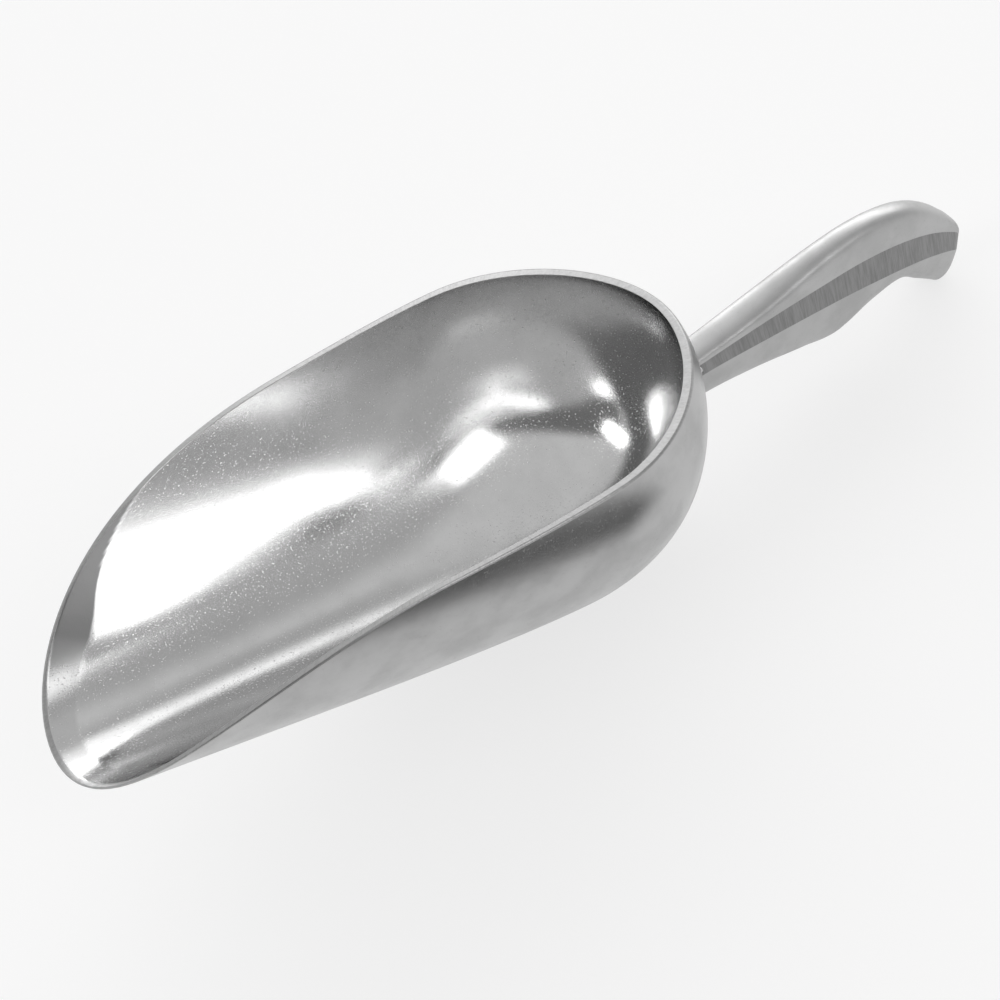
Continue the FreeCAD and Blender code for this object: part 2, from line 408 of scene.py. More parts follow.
    def unroll(self, face: BMFace, uv: BMLayerItem) -> None:
        """Lays a rim face flat, so that grinding marks can run across the rim.

        Args:
            face: one face of the rim.
            uv: the map that takes the flat places.
        """
        ways = [loop.vert.co - self.centre() for loop in face.loops]
        angles = [math.atan2(way.y, way.x) for way in ways]
        wraps = max(angles) - min(angles) > math.pi
        for loop, way, angle in zip(face.loops, ways, angles):
            turn = angle + TURN if wraps and angle < 0 else angle
            loop[uv].uv = (turn * self.centre_place, way.length)


@dataclass(frozen=True)
class GripSection:
    """The handle's cross-section at one place.

    Args:
        place: distance from the lip.
        top: height of the crown.
        ridge: height of the edge between the crown and the ground flat.
        parting: height of the flat's lower edge.
        bottom: height of the belly.
        half_width: half the width at the parting.
        ridge_share: half width at the ridge, as a share of the one at the parting.
        crown_fullness: how square the crown is, from 0 to 1.
        belly_fullness: how square the belly is.
    """

    place: float
    top: float
    ridge: float
    parting: float
    bottom: float
    half_width: float
    ridge_share: float = 0.82
    crown_fullness: float = 0.75
    belly_fullness: float = 0.8

    def point(self, share: float) -> Vector:
        """A point of the right half of the outline.

        Args:
            share: 0 to 1 over the crown, 1 to 2 down the flat, 2 to 3 under the belly.

        Returns:
            The point.
        """
        narrow = self.half_width * self.ridge_share
        if share <= 1.0:
            across, height = quarter(narrow, self.ridge, self.top, self.crown_fullness, 1.0 - share)
        elif share <= 2.0:
            part = share - 1.0
            across = narrow + (self.half_width - narrow) * part
            height = self.ridge + (self.parting - self.ridge) * part
        else:
            low, belly = self.bottom, self.belly_fullness
            across, height = quarter(self.half_width, self.parting, low, belly, share - 2.0)
        return Vector((self.place, across, height))


def quarter(wide: float, side: float, end: float, fullness: float, share: float) -> tuple[float, float]:
    """A point of a quarter round, which is one cubic curve.

    Args:
        wide: half width at its side.
        side: height of its side.
        end: height of its end on the middle line.
        fullness: how square it is, from 0 to 1.
        share: 0 at its side, 1 at its end.

    Returns:
        The half width and the height there.
    """
    rest = 1.0 - share
    weights = (rest**3, 3 * rest**2 * share, 3 * rest * share**2, share**3)
    across = (wide, wide, wide * fullness, 0.0)
    heights = (side, side + (end - side) * fullness, end, end)
    place, height = (sum(w * pole for w, pole in zip(weights, poles)) for poles in (across, heights))
    return place, height


@dataclass
class Handle:
    """The solid cast handle, with a ground flat on each side.

    Args:
        sections: run behind the bowl's back, then heights above the bowl's
            middle (crown, ridge, parting, belly) and half width, root to butt.
        butt_round: length of the butt's rounding.
        butt_crown_fall: how far the crown runs on down over it.
        butt_crown_round: how far the crown closes in.
        butt_belly_round: how far the belly closes in.
        butt_side_round: how far each side closes in.
        first_turn: turn of the rounding's first row of points, in degrees.
        root_depth: how far the root reaches into the bowl's wall.
        along: faces along the handle.
        edge_share: how wide the broken edge of the flat is.
    """

    form: BowlForm
    pose: RestPose
    sections: tuple[tuple[float, ...], ...] = (
        (-12, 2.5, 0, -3, -16.8, 6.2),
        (11, 11.5, 8.9, 4.5, -8.4, 6.8),
        (32, 21.3, 16.7, 9.5, -5, 7.5),
        (52, 31.6, 22.5, 13.1, -4.3, 7.5),
        (67, 37.2, 26.5, 15.5, -2.8, 7.5),
        (78, 39, 28.3, 16.9, 6, 7.5),
        (89, 38.4, 28.9, 18.1, 11.8, 7.5),
        (99, 35, 28.1, 18.7, 8, 7.5),
        (110, 28.4, 25, 18, 3.1, 7.3),
    )
    butt_round: float = 6.0
    butt_crown_fall: float = 2.5
    butt_crown_round: float = 8.0
    butt_belly_round: float = 7.5
    butt_side_round: float = 5.5
    first_turn: int = 6
    turn_step: int = 7
    last_turn: int = 89
    root_depth: float = 1.2
    along: int = 150
    crown_faces: int = 14
    flat_faces: int = 6
    belly_faces: int = 12
    edge_share: float = 0.03
    name: str = "handle_casting"

    def section_at(self, place: float) -> GripSection:
        """The cross-section at any place, on a smooth curve through the named ones.

        Args:
            place: distance from the lip.

        Returns:
            The section there.
        """
        run = place - self.form.length
        rows = self.sections
        number = 0
        while number < len(rows) - 2 and run > rows[number + 1][0]:
            number += 1
        low, high = rows[number], rows[number + 1]
        span = high[0] - low[0]
        part = min(1.0, max(0.0, (run - low[0]) / span))
        values = []
        for column in range(1, len(low)):
            start = self.slope(number, column) * span
            end = self.slope(number + 1, column) * span
            rise = high[column] - low[column]
            cubic = start + end - 2 * rise
            square = 3 * rise - 2 * start - end
            values.append(low[column] + start * part + square * part**2 + cubic * part**3)
        *heights, half_width = values
        return GripSection(place, *(self.form.half_depth + height for height in heights), half_width)

    def slope(self, number: int, column: int) -> float:
        """Slope of one size at a named section, as of a parabola through its neighbours.

        Args:
            number: which section.
            column: which size.

        Returns:
            The slope along the handle.
        """
        rows = self.sections
        first = max(0, min(number - 1, len(rows) - 3))
        a, b, c = rows[first], rows[first + 1], rows[first + 2]
        left = (b[column] - a[column]) / (b[0] - a[0])
        right = (c[column] - b[column]) / (c[0] - b[0])
        bend = (right - left) / (c[0] - a[0])
        return left + bend * (2 * rows[number][0] - a[0] - b[0])

    def side_shares(self) -> list[float]:
        """Where the outline's points lie down one side, with each edge cut off a little."""
        broken = self.edge_share
        shares = [step / self.crown_faces for step in range(self.crown_faces)]
        shares += [1 - broken / 2, 1 + broken]
        shares += [1 + step / self.flat_faces for step in range(1, self.flat_faces)]
        shares += [2 - broken, 2 + broken / 2]
        shares += [2 + step / self.belly_faces for step in range(1, self.belly_faces + 1)]
        return shares

    def outline_point(self, section: GripSection, step: int) -> Vector:
        """A point of the whole outline, counted round from the top.

        Args:
            section: the cross-section.
            step: step round the outline.

        Returns:
            The point.
        """
        shares = self.side_shares()
        half = len(shares) - 1
        step %= 2 * half
        point = section.point(shares[step] if step <= half else shares[2 * half - step])
        if step > half:
            point.y = -point.y
        return point

    def rows(self) -> list[GripSection]:
        """The handle's rows of points, from the root's end to the butt's."""
        start = self.form.length - self.form.wall_at_back + self.root_depth
        butt = self.form.length + self.sections[-1][0]
        straight = [
            self.section_at(start + (butt - start) * step / self.along)
            for step in range(self.along + 1)
        ]
        turns = (*range(self.first_turn, self.last_turn, self.turn_step), self.last_turn)
        return straight + [self.closed_in(straight[-1], math.radians(turn)) for turn in turns]

    def closed_in(self, butt: GripSection, turn: float) -> GripSection:
        """The butt's section at one turn of its rounding.

        Args:
            butt: the section where the rounding starts.
            turn: how far the rounding has turned in, in radians.

        Returns:
            The section there.
        """
        closing = 1.0 - math.cos(turn)
        fall = self.butt_crown_fall * math.sin(turn) + self.butt_crown_round * closing
        top, bottom = butt.top - fall, butt.bottom + self.butt_belly_round * closing
        shrink = (top - bottom) / (butt.top - butt.bottom)
        ridge, parting = (bottom + (z - butt.bottom) * shrink for z in (butt.ridge, butt.parting))
        place = butt.place + self.butt_round * math.sin(turn)
        half_width = butt.half_width - self.butt_side_round * closing
        return GripSection(place, top, ridge, parting, bottom, half_width)

    def build(self) -> Object:
        """Builds the handle in its resting place."""
        rows = self.rows()
        shares = self.side_shares()
        around, levels = 2 * (len(shares) - 1), len(rows) + 1
        bm = bmesh.new()
        bmesh.ops.create_uvsphere(bm, u_segments=around, v_segments=levels, radius=1.0)
        sides = {}
        for vert in bm.verts:
            row, step = ball_place(vert, around, levels)
            if row in (0, levels):
                section = rows[0] if row == 0 else rows[-1]
                vert.co = Vector((section.place, 0.0, (section.top + section.bottom) / 2))
            else:
                sides[vert] = shares[min(step, around - step)]
                vert.co = self.outline_point(rows[row - 1], step)
        for face in bm.faces:
            ground = all(1.0 < sides.get(vert, 0.0) < 2.0 for vert in face.verts)
            face.material_index = Surface.GROUND.value if ground else Surface.OUTSIDE.value
        bmesh.ops.recalc_face_normals(bm, faces=bm.faces)
        return finished(bm, self.name, self.pose.matrix())


@dataclass
class NeckWeld:
    """The rippled weld bead round the handle's root, made from a thin round ring.

    Args:
        leg_on_bowl: how far the bead spreads over the bowl's wall.
        leg_on_handle: how far it climbs along the handle.
        swell_share: how far its skin swells either way, as a share of each leg.
        middle_share: where its middle lies, as a share of each leg.
        sunk: how far it reaches into the bowl's wall.
        ripple_pitch: length of one ripple.
        ripple_height: height of one ripple as a share of the bead's radius.
        ripple_bow: how much each ripple bows, in ripples.
        ripple_drift: how far the ripples drift from an even pitch, in ripples.
        drift_waves: how often that drift comes and goes round the bead.
        size_waves: height, count and phase of each wave of the bead's size.
        around: faces round the root.
        across: faces round the bead.
        ring_radius: thickness of the ring before it is shaped, its own radius being 1.
    """

    handle: Handle
    pose: RestPose
    leg_on_bowl: float = 2.1
    leg_on_handle: float = 9.5
    swell_share: float = 0.75
    middle_share: float = 0.2
    sunk: float = 1.2
    ripple_pitch: float = 2.1
    ripple_height: float = 0.35
    ripple_bow: float = 0.18
    ripple_drift: float = 0.25
    drift_waves: int = 5
    size_waves: tuple[tuple[float, int, float], ...] = ((0.1, 3, 1.3), (0.06, 7, 0.4))
    around: int = 300
    across: int = 20
    ring_radius: float = 0.25
    name: str = "weld_bead"

    def wall_place(self, point: Vector) -> float:
        """Where the bowl's outer face lies behind a point, as a distance from the lip."""
        form = self.handle.form
        start = Vector((form.side_straight, point.y, point.z))
        return form.reach(start, Vector((1.0, 0.0, 0.0)), form.length - start.x, False).x

    def build(self) -> Object:
        """Builds the bead in its resting place."""
        root = self.handle.section_at(self.handle.form.length)
        steps = range(2 * (len(self.handle.side_shares()) - 1))
        outline = [self.handle.outline_point(root, step) for step in steps]
        lengths = [0.0]
        for here, there in zip(outline, outline[1:] + outline[:1]):
            lengths.append(lengths[-1] + (there - here).length)
        bm = bmesh.new()
        ring = bmesh.ops.create_circle(bm, segments=self.across, radius=self.ring_radius)
        turn = Matrix.Translation((1.0, 0.0, 0.0)) @ Matrix.Rotation(math.pi / 2, 4, "X")
        bmesh.ops.transform(bm, matrix=turn, verts=ring["verts"])
        edges, origin, up = list(bm.edges), (0.0, 0.0, 0.0), (0.0, 0.0, 1.0)
        bmesh.ops.spin(bm, geom=edges, cent=origin, axis=up, angle=TURN, steps=self.around, use_merge=True)
        for vert in bm.verts:
            share = (math.atan2(vert.co.y, vert.co.x) / TURN) % 1.0
            outward = math.hypot(vert.co.x, vert.co.y) - 1.0
            swell = Vector((outward / self.ring_radius, vert.co.z / self.ring_radius))
            vert.co = self.bead_point(outline, lengths, share, swell)
        bmesh.ops.recalc_face_normals(bm, faces=bm.faces)
        return finished(bm, self.name, self.pose.matrix())

    def bead_point(self, outline: list[Vector], lengths: list[float], share: float, swell: Vector) -> Vector:
        """A point of the bead's skin.

        Args:
            outline: the root's outline.
            lengths: distance along the outline to each of its points.
            share: how far round the outline the point lies.
            swell: the point's place in the bead's round section, outward and along.

        Returns:
            The point.
        """
        distance = share * lengths[-1]
        number = max(i for i in range(len(outline)) if lengths[i] <= distance + TINY)
        here, there = outline[number], outline[(number + 1) % len(outline)]
        part = (distance - lengths[number]) / max(lengths[number + 1] - lengths[number], TINY)
        base = here.lerp(there, part)
        tangent = (there - here).normalized()
        outward = tangent.cross(Vector((1.0, 0.0, 0.0)))
        middle = sum((p for p in outline), Vector()) / len(outline)
        if outward.dot(base - middle) < 0:
            outward.negate()
        drift = self.ripple_drift * math.sin(share * TURN * self.drift_waves)
        phase = share * round(lengths[-1] / self.ripple_pitch) + self.ripple_bow * swell.y**2 + drift
        waves = (height * math.sin(share * TURN * count + late) for height, count, late in self.size_waves)
        size = (1.0 - self.ripple_height * (phase % 1.0) ** 2) * sum(waves, 1.0)
        reach = self.leg_on_bowl * self.swell_share * swell.x * size
        climb = self.sunk * swell.y
        if swell.y > 0:
            climb = self.leg_on_handle * self.swell_share * swell.y * size
        point = base + outward * (self.leg_on_bowl * self.middle_share + reach)
        point.x = self.wall_place(point) + self.leg_on_handle * self.middle_share + climb
        return point


def ball_place(vert: BMVert, around: int, levels: int) -> tuple[int, int]:
    """A point's row on a ball, counted from the lower pole, and its step round the ball."""
    row = round(math.acos(max(-1.0, min(1.0, -vert.co.z))) / math.pi * levels)
    return row, round(math.atan2(vert.co.y, vert.co.x) / TURN * around) % around


def finished(bm: BMesh, name: str, move: Matrix) -> Object:
    """Moves a mesh to its place and makes it a smooth object.

    Args:
        bm: the mesh; it is freed.
        name: the new object's name.
        move: the move that brings it to its place in metres.

    Returns:
        The object, linked to the scene.
    """
    bmesh.ops.transform(bm, matrix=move, verts=bm.verts)
    for face in bm.faces:
        face.smooth = True
    mesh = bpy.data.meshes.new(name)
    bm.to_mesh(mesh)
    bm.free()
    item = bpy.data.objects.new(name, mesh)
    bpy.context.scene.collection.objects.link(item)
    log.info("%s: %d faces", name, len(mesh.polygons))
    return item


def grey(brightness: float) -> tuple[float, float, float, float]:
    """An opaque grey."""
    return brightness, brightness, brightness, 1.0


class Shading:
    """A node tree under construction, with short calls for its nodes and links."""

    def __init__(self, tree: NodeTree) -> None:
        """Takes the tree of a material, a world or a node group."""
        self.tree = tree

    def feed(self, node: Node, sources: dict[str | int, object]) -> None:
        """Links outputs to a node's inputs, or sets their values.

        Args:
            node: the node.
            sources: for each input, by name or number, an output or a plain value.
        """
        for name, source in sources.items():
            if isinstance(source, NodeSocket):
                self.tree.links.new(source, node.inputs[name])
            else:
                node.inputs[name].default_value = source

    def node(self, kind: str, sources: dict[str | int, object] | None = None, **settings: object) -> Node:
        """Adds a node.

        Args:
            kind: the node's type name without its leading "ShaderNode".
            sources: what feeds its inputs.
            settings: properties of the node.

        Returns:
            The node.
        """
        node = self.tree.nodes.new("ShaderNode" + kind)
        for name, value in settings.items():
            setattr(node, name, value)
        self.feed(node, sources or {})
        return node

    def math(self, operation: str, *sources: object) -> NodeSocket:
        """Adds a Math node and gives its result."""
        return self.node("Math", dict(enumerate(sources)), operation=operation).outputs[0]

    def spread(
        self, value: object, low: object, high: object, floor: float = 0.0, top: float = 1.0
    ) -> NodeSocket:
        """Maps the range from low to high smoothly onto the one from floor to top."""
        sources = dict(enumerate((value, low, high, floor, top)))
        return self.node("MapRange", sources, interpolation_type="SMOOTHSTEP").outputs["Result"]

    def noise(self, place: object, scale: object, detail: float = 2.0, rough: float = 0.5) -> NodeSocket:
        """Adds a noise from 0 to 1, which repeats scale times in a metre."""
        sources = {"Vector": place, "Scale": scale, "Detail": detail, "Roughness": rough}
        return self.node("TexNoise", sources).outputs["Fac"]

    def mix(self, share: object, first: object, second: object) -> NodeSocket:
        """Mixes two colours, which are inputs 6 and 7 of their node; a share of 1 is all second."""
        return self.node("Mix", {0: share, 6: first, 7: second}, data_type="RGBA").outputs[2]

    def bump(self, height: object, depth: float) -> NodeSocket:
        """Adds a bump whose depth is in millimetres and gives its normal."""
        return self.node("Bump", {"Distance": depth * MM, "Height": height}).outputs["Normal"]


def node_group(name: str, inputs: dict[str, object], outputs: list[str]) -> tuple[Shading, Node, Node]:
    """Makes an empty node group with float or vector inputs and float outputs.

    Args:
        name: the group's name.
        inputs: each input's name and default value; a tuple makes a vector.
        outputs: the outputs' names.

    Returns:
        The shading that fills the group, its input node and its output node.
    """
    group = bpy.data.node_groups.new(name, "ShaderNodeTree")
    for label, value in inputs.items():
        kind = "NodeSocketVector" if isinstance(value, tuple) else "NodeSocketFloat"
        group.interface.new_socket(name=label, in_out="INPUT", socket_type=kind).default_value = value
    for label in outputs:
        group.interface.new_socket(name=label, in_out="OUTPUT", socket_type="NodeSocketFloat")
    return Shading(group), group.nodes.new("NodeGroupInput"), group.nodes.new("NodeGroupOutput")


def new_material(name: str, settings: dict[str | int, object]) -> tuple[Material, Shading, Node]:
    """Makes a material.

    Args:
        name: its name.
        settings: what its shader's inputs are set to.

    Returns:
        The material, its shading and its shader.
    """
    material = bpy.data.materials.new(name)
    material.use_nodes = True
    shading = Shading(material.node_tree)
    shader = material.node_tree.nodes["Principled BSDF"]
    shading.feed(shader, settings)
    return material, shading, shader


def cast_grain() -> NodeTree:
    """Builds the grain that all castings share: its height, a wide tone and a mask of small pits."""
    clouds, pits = 70.0, 1900.0
    pit_start, pit_end, pit_depth = 0.7, 0.8, 1.3
    coarse_scale, coarse_share, layer_strength = 0.4, 0.4, 0.6
    inputs = {"Place": (0.0, 0.0, 0.0), "Grain": 1.0}
    shading, start, end = node_group("cast_grain", inputs, ["Height", "Tone", "Pit"])
    place, grain = start.outputs["Place"], start.outputs["Grain"]
    fine = shading.noise(place, grain, detail=1.0, rough=layer_strength)
    coarse = shading.noise(place, shading.math("MULTIPLY", grain, coarse_scale), detail=1.0)
    height = shading.math("MULTIPLY_ADD", coarse, coarse_share, fine)
    tone = shading.noise(place, clouds, detail=4.0, rough=layer_strength)
    pit = shading.spread(shading.noise(place, pits, detail=0.0), pit_start, pit_end)
    height = shading.math("MULTIPLY_ADD", pit, -pit_depth, height)
    shading.feed(end, {"Height": height, "Tone": tone, "Pit": pit})
    return shading.tree


@dataclass(frozen=True)
class CastFinish:
    """A cast and tumbled aluminium surface.

    Args:
        colour: brightness of the clean metal.
        cloud_colour: brightness where the casting is duller.
        roughness: roughness where it is brightest.
        dullness: how much rougher its dull clouds are.
        grain: number of grains in a metre.
        depth: depth of the grain in millimetres.
        thinned_shade_colour: brightness of a marked strip that was ground, set dark as painted shade, None
            without one.
        thinned_roughness: roughness of that strip.
        pit_roughness: how much rougher a pit is.
    """

    name: str
    colour: float
    cloud_colour: float
    roughness: float
    dullness: float
    grain: float
    depth: float
    thinned_shade_colour: float | None = None
    thinned_roughness: float = 0.36
    pit_roughness: float = 0.15

    def material(self, grain_group: NodeTree) -> Material:
        """Builds the finish.

        Args:
            grain_group: the shared grain.

        Returns:
            The material.
        """
        material, shading, shader = new_material(self.name, {"Metallic": 1.0})
        place = shading.node("TexCoord").outputs["Object"]
        grain = shading.node("Group", node_tree=grain_group)
        shading.feed(grain, {"Place": place, "Grain": self.grain})
        cloud_start, cloud_end = 0.35, 0.7
        dull = shading.spread(grain.outputs["Tone"], cloud_start, cloud_end)
        colour = shading.mix(dull, grey(self.colour), grey(self.cloud_colour))
        rough = shading.math("MULTIPLY_ADD", dull, self.dullness, self.roughness)
        rough = shading.math("MULTIPLY_ADD", grain.outputs["Pit"], self.pit_roughness, rough)
        # The ground strip is really rougher; its dark colour is painted shade for the dark it reflects.
        if self.thinned_shade_colour is not None:
            thinned = shading.node("Attribute", attribute_name=THINNED).outputs["Fac"]
            colour = shading.mix(thinned, colour, grey(self.thinned_shade_colour))
            change = shading.math("SUBTRACT", self.thinned_roughness, rough)
            rough = shading.math("MULTIPLY_ADD", thinned, change, rough)
        normal = shading.bump(grain.outputs["Height"], self.depth)
        shading.feed(shader, {"Base Color": colour, "Roughness": rough, "Normal": normal})
        return material


@dataclass(frozen=True)
class GroundFinish:
    """A face ground by a belt, with fine parallel marks.

    Args:
        colour: brightness of the ground metal.
        mark_colour: brightness in its deeper marks.
        roughness: roughness in its deeper marks.
        marks: number of marks in a metre, along the face.
        stretch: how many times longer than wide a mark is.
        depth: depth of the marks in millimetres.
        on_rim: whether the marks follow the rim's own map, or else the handle.
        lean: slope of the handle's flats against the table, in degrees.
        polish: how much smoother the clean metal is.
    """

    name: str
    colour: float
    mark_colour: float
    roughness: float
    marks: float
    stretch: float
    depth: float
    on_rim: bool = False
    lean: float = 4.0
    polish: float = 0.12

    def material(self) -> Material:
        """Builds the finish."""
        material, shading, shader = new_material(self.name, {"Metallic": 1.0})
        place = shading.node("TexCoord").outputs["UV" if self.on_rim else "Object"]
        narrow = 1.0 / self.stretch
        scale = (MM, MM * narrow, 1.0) if self.on_rim else (1.0, narrow, narrow)
        turn = (0.0, 0.0 if self.on_rim else math.radians(self.lean), 0.0)
        turned = shading.node("Mapping", {"Vector": place, "Rotation": turn, "Scale": scale})
        mark_share, band_share, band_scale = 0.7, 0.3, 0.2
        mark_level, clean_level = 0.35, 0.62
        marks = shading.noise(turned.outputs["Vector"], self.marks, detail=3.0, rough=0.7)
        marks = shading.math("MULTIPLY", marks, mark_share)
        bands = shading.noise(turned.outputs["Vector"], self.marks * band_scale)
        pattern = shading.math("ADD", marks, shading.math("MULTIPLY", bands, band_share))
        clean = shading.spread(pattern, mark_level, clean_level)
        colour = shading.mix(clean, grey(self.mark_colour), grey(self.colour))
        rough = shading.math("MULTIPLY_ADD", clean, -self.polish, self.roughness)
        normal = shading.bump(pattern, self.depth)
        shading.feed(shader, {"Base Color": colour, "Roughness": rough, "Normal": normal})
        return material


@dataclass(frozen=True)
class WeldFinish:
    """The bright uneven metal of a weld bead.

    Args:
        colour: brightness of the clean bead.
        soot_colour: brightness in its hollows.
        roughness: roughness of its smoothest places.
        rough_gain: how much rougher the roughest ones are.
        lumps: number of lumps in a metre.
        lump_depth: depth of the lumps in millimetres.
        grain: number of finer spots in a metre.
    """

    name: str = "weld_bead"
    colour: float = 0.95
    soot_colour: float = 0.5
    roughness: float = 0.1
    rough_gain: float = 0.25
    lumps: float = 700.0
    lump_depth: float = 0.25
    grain: float = 2500.0

    def material(self) -> Material:
        """Builds the finish."""
        material, shading, shader = new_material(self.name, {"Metallic": 1.0})
        place = shading.node("TexCoord").outputs["Object"]
        soot_level, clean_level = 0.4, 0.62
        lumps = shading.noise(place, self.lumps, rough=0.6)
        clean = shading.spread(lumps, soot_level, clean_level)
        colour = shading.mix(clean, grey(self.soot_colour), grey(self.colour))
        fine = shading.noise(place, self.grain, detail=1.0)
        rough = shading.math("MULTIPLY_ADD", fine, self.rough_gain, self.roughness)
        normal = shading.bump(lumps, self.lump_depth)
        shading.feed(shader, {"Base Color": colour, "Roughness": rough, "Normal": normal})
        return material


def axes_towards(azimuth: float, elevation: float, roll: float, front: float) -> tuple[Vector, ...]:
    """The axes of a camera or a patch of light that lies in some direction.

    Args:
        azimuth: degrees round the scoop.
        elevation: degrees above its level.
        roll: degrees of tilt about the direction.
        front: 1 where azimuth 0 lies at +Y, -1 where it lies at -Y.

    Returns:
        The directions towards it, across it and up it.
    """
    azimuth, elevation, roll = (math.radians(angle) for angle in (azimuth, elevation, roll))
    level = math.cos(elevation)
    towards = Vector((math.sin(azimuth) * level, front * math.cos(azimuth) * level, math.sin(elevation)))
    across = Vector((math.cos(azimuth), -front * math.sin(azimuth), 0.0))
    up = front * across.cross(towards)
    tilt, lift = math.cos(roll), math.sin(roll)
    return towards, across * tilt + up * lift, up * tilt - across * lift


@dataclass(frozen=True)
class Camera:
    """The camera of the photograph, about the level bowl.

    Args:
        azimuth: degrees round the bowl, 0 looks along +Y.
        elevation: degrees above the bowl's floor.
        roll: degrees of tilt of the picture.
        offset: place of the lip's tip in the camera's own axes, in millimetres.
        focal_pixels: focal length, where the frame is frame_pixels wide.
        sensor: width of the sensor in millimetres.
        clip_start: least distance that the camera sees, in metres.
    """

    azimuth: float = -39.26
    elevation: float = 42.42
    roll: float = 7.34
    offset: tuple[float, float, float] = (-125.67, -75.51, 568.10)
    focal_pixels: float = 2000.0
    frame_pixels: float = 1000.0
    sensor: float = 36.0
    clip_start: float = 0.01

    def build(self, pose: RestPose) -> None:
        """Places the camera and makes it the scene's.

        Args:
            pose: the resting pose that moves camera and scoop alike.
        """
        back, right, up = axes_towards(self.azimuth, self.elevation, self.roll, -1.0)
        across, rise, depth = self.offset
        centre = back * depth - right * across - up * rise
        tip = Matrix.Rotation(math.radians(pose.pitch), 3, "Y")
        turn = tip @ Matrix((right, up, back)).transposed()
        data = bpy.data.cameras.new("camera")
        data.sensor_width = self.sensor
        data.lens = self.focal_pixels * self.sensor / self.frame_pixels
        data.clip_start = self.clip_start
        camera = bpy.data.objects.new("camera", data)
        camera.matrix_world = Matrix.Translation(pose.matrix() @ centre) @ turn.to_4x4()
        bpy.context.scene.collection.objects.link(camera)
        bpy.context.scene.camera = camera


@dataclass(frozen=True)
class Panel:
    """A soft lamp or a dark card, far off, as a patch of the room's light.

    Args:
        azimuth: middle of the patch in degrees, 0 beyond the scoop at +Y, 90 at +X.
        elevation: middle of the patch in degrees above the horizon.
        width: width in degrees.
        height: height in degrees.
        light: how bright the patch is, 1 for white.
        softness: how soft its edges are, in degrees.
    """

    azimuth: float
    elevation: float
    width: float
    height: float
    light: float
    softness: float

    def shape(self) -> dict[str, object]:
        """The patch's direction and sizes, as the inputs of its mask."""
        towards, across, up = axes_towards(self.azimuth, self.elevation, 0.0, 1.0)
        sizes = {"Half Width": self.width / 2, "Half Height": self.height / 2, "Softness": self.softness}
        turns = {name: math.radians(size) for name, size in sizes.items()}
        return {"Towards": towards, "Across": across, "Up": up, **turns}


def panel_mask() -> NodeTree:
    """Builds a group that puts out 1 within a soft-edged rectangle of directions and 0 outside."""
    vectors = dict.fromkeys(("Direction", "Towards", "Across", "Up"), (0.0, 0.0, 1.0))
    sizes = dict.fromkeys(("Half Width", "Half Height", "Softness"), 0.0)
    shading, start, end = node_group("panel_mask", vectors | sizes, ["Mask"])
    given = start.outputs
    parts = {}
    for name in ("Towards", "Across", "Up"):
        both = {0: given["Direction"], 1: given[name]}
        parts[name] = shading.node("VectorMath", both, operation="DOT_PRODUCT").outputs["Value"]
    masks = []
    for name, size in (("Across", "Half Width"), ("Up", "Half Height")):
        angle = shading.math("ABSOLUTE", shading.math("ARCTAN2", parts[name], parts["Towards"]))
        inner = shading.math("SUBTRACT", given[size], given["Softness"])
        outer = shading.math("ADD", given[size], given["Softness"])
        masks.append(shading.spread(angle, inner, outer, 1.0, 0.0))
    shading.feed(end, {"Mask": shading.math("MULTIPLY", *masks)})
    return shading.tree


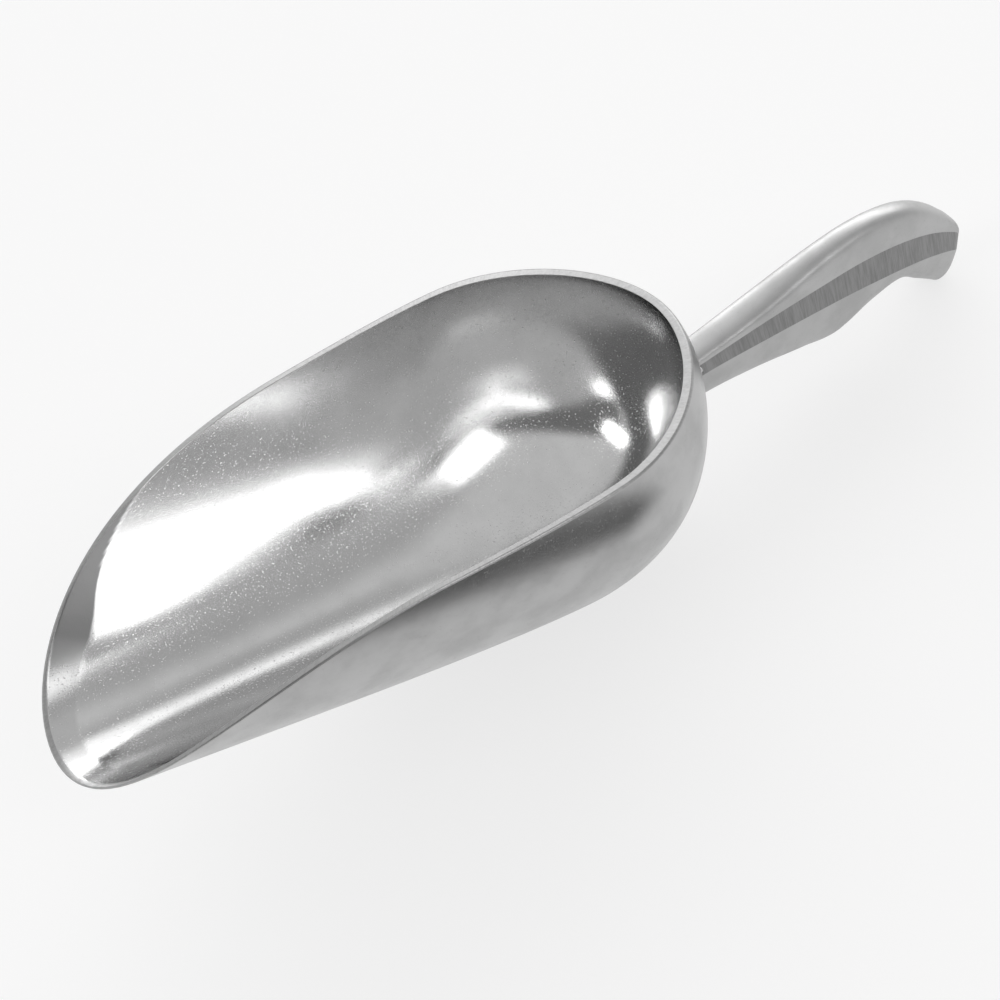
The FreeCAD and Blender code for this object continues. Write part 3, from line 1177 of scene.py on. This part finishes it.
@dataclass(frozen=True)
class Studio:
    """A pale floor and a room's light, with soft lamps and dark cards in it.

    Args:
        floor_glow: how far the floor is brought near white where it is seen.
        shade_card_place: middle of the dark card in front of the scoop, in metres; the card is painted shade
            that only reflections show.
        shade_card_size: its length and depth.
        matt: roughness of floor and card.
        room_light: light of the room, 1 for white.
        horizon_light: light near its horizon.
        horizon_height: where the one gives way to the other, in degrees.
        horizon_blur: how softly it does, as a share of that height.
    """

    floor_size: float = 60.0
    floor_colour: float = 0.93
    floor_glow: float = 0.7
    shade_card_place: tuple[float, float, float] = (-0.125, -0.181, 0.001)
    shade_card_size: tuple[float, float] = (0.41, 0.138)
    shade_card_colour: float = 0.12
    matt: float = 0.9
    room_light: float = 0.6
    horizon_light: float = 0.9
    horizon_height: float = 12.0
    horizon_blur: float = 0.5
    # Azimuth, elevation, width, height, light and softness of each.
    panels: tuple[Panel, ...] = (
        Panel(131, 34, 44, 40, 0.42, 8.0),
        Panel(65, 48, 24, 10, 0.4, 3.0),
        Panel(22, 42, 64, 18, 1.3, 6.0),
        Panel(33, 24, 66, 20, 4.0, 2.5),
        Panel(-14, 13, 34, 7, 4.0, 1.2),
        Panel(-136, 26, 92, 52, 0.16, 4.0),
        Panel(-84, 34, 22, 12, 5.0, 1.2),
        Panel(156.5, 42.5, 25, 18, 2.6, 1.0),
    )

    def build(self) -> None:
        """Builds the floor, the dark card of painted shade in front of the scoop and the room's light."""
        half = self.floor_size / 2
        floor = self.sheet("floor", self.floor_colour, Matrix.Diagonal((half, half, 1.0, 1.0)))
        self.whiten(floor.data.materials[0])
        length, depth = self.shade_card_size
        size = Matrix.Diagonal((length / 2, depth / 2, 1.0, 1.0))
        card = self.sheet("card", self.shade_card_colour, Matrix.Translation(self.shade_card_place) @ size)
        # Hidden from camera, shadows and diffuse light, the card only darkens reflections, as painted shade
        # of the floor by the scoop.
        card.visible_camera = card.visible_shadow = card.visible_diffuse = False
        self.light_room()

    def sheet(self, name: str, colour: float, place: Matrix) -> Object:
        """Makes a flat staged sheet with its own matt material.

        Args:
            name: name of the sheet and its material.
            colour: its brightness.
            place: the move that brings a square of side 2 to its place.

        Returns:
            The sheet.
        """
        bm = bmesh.new()
        bmesh.ops.create_grid(bm, x_segments=1, y_segments=1, size=1.0)
        item = finished(bm, name, place)
        settings = {"Base Color": grey(colour), "Roughness": self.matt, "Specular IOR Level": 0.0}
        item.data.materials.append(new_material(name, settings)[0])
        return item

    def whiten(self, material: Material) -> None:
        """Brings the floor near white where camera, metal or glass see it.

        Args:
            material: the floor's material.
        """
        shading = Shading(material.node_tree)
        nodes = material.node_tree.nodes
        rays = shading.node("LightPath").outputs
        seen = shading.math("MAXIMUM", rays["Is Camera Ray"], rays["Is Glossy Ray"])
        seen = shading.math("MAXIMUM", seen, rays["Is Transmission Ray"])
        share = shading.math("MULTIPLY", seen, self.floor_glow)
        glow = shading.node("Emission").outputs[0]
        blend = shading.node("MixShader", {0: share, 1: nodes["Principled BSDF"].outputs[0], 2: glow})
        shading.feed(nodes["Material Output"], {"Surface": blend.outputs[0]})

    def light_room(self) -> None:
        """Gives the world its pale horizon, its lamps and its cards."""
        world = bpy.data.worlds.new("room")
        world.use_nodes = True
        shading = Shading(world.node_tree)
        direction = shading.node("TexCoord").outputs["Generated"]
        rise = shading.node("SeparateXYZ", {0: direction}).outputs["Z"]
        edge = math.sin(math.radians(self.horizon_height))
        low, high = edge * (1.0 - self.horizon_blur), edge * (1.0 + self.horizon_blur)
        light = shading.spread(rise, low, high, self.horizon_light, self.room_light)
        mask_group = panel_mask()
        for panel in self.panels:
            mask = shading.node("Group", node_tree=mask_group)
            shading.feed(mask, {"Direction": direction, **panel.shape()})
            change = shading.math("SUBTRACT", panel.light, light)
            light = shading.math("MULTIPLY_ADD", change, mask.outputs["Mask"], light)
        shading.feed(world.node_tree.nodes["Background"], {"Color": grey(1.0), "Strength": light})
        bpy.context.scene.world = world


def finishes() -> dict[str, tuple[Material, ...]]:
    """The materials of each node, in the order of its slots.

    Returns:
        The materials by node. The handle has no inside, so its first slot stays unused.
    """
    grain = cast_grain()
    # The inside's ground lip strip gets a dark colour as painted shade.
    inside = CastFinish(
        "tumbled_inside", colour=0.78, cloud_colour=0.72, roughness=0.12, dullness=0.04,
        grain=5000.0, depth=0.01, thinned_shade_colour=0.2,
    ).material(grain)
    # The outside is coloured darker than the inside as painted shade, which dims what the outer wall
    # reflects; its rougher grain is real.
    outside = CastFinish(
        "tumbled_outside_painted_shade", colour=0.5, cloud_colour=0.44, roughness=0.28, dullness=0.06,
        grain=4500.0, depth=0.01,
    ).material(grain)
    rim = GroundFinish(
        "ground_rim", colour=0.45, mark_colour=0.35, roughness=0.42, marks=3000.0,
        stretch=4.0, depth=0.015, on_rim=True,
    ).material()
    grip = CastFinish(
        "tumbled_grip", colour=0.5, cloud_colour=0.45, roughness=0.42, dullness=0.06,
        grain=4500.0, depth=0.008,
    ).material(grain)
    flat = GroundFinish(
        "ground_flat", colour=0.28, mark_colour=0.22, roughness=0.45, marks=2300.0,
        stretch=20.0, depth=0.03,
    ).material()
    return {
        "bowl": (inside, outside, rim),
        "handle": (grip, grip, flat),
        "neck_weld": (WeldFinish().material(),),
    }


def main() -> None:
    """Builds the scoop, dresses it and builds the studio, in that order."""
    logging.basicConfig(level=logging.INFO, format="%(name)s: %(message)s")
    bpy.context.scene.view_settings.view_transform = "Standard"
    pose, form = RestPose(), BowlForm()
    handle = Handle(form, pose)
    parts = {
        "bowl": Bowl(form, pose).build(),
        "handle": handle.build(),
        "neck_weld": NeckWeld(handle, pose).build(),
    }
    materials = finishes()
    for node, piece in parts.items():
        for material in materials[node]:
            piece.data.materials.append(material)
        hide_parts(node)
        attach(piece, "root")
        log.info("%s dressed", piece.name)
    Camera().build(pose)
    Studio().build()


if __name__ == "__main__":
    main()
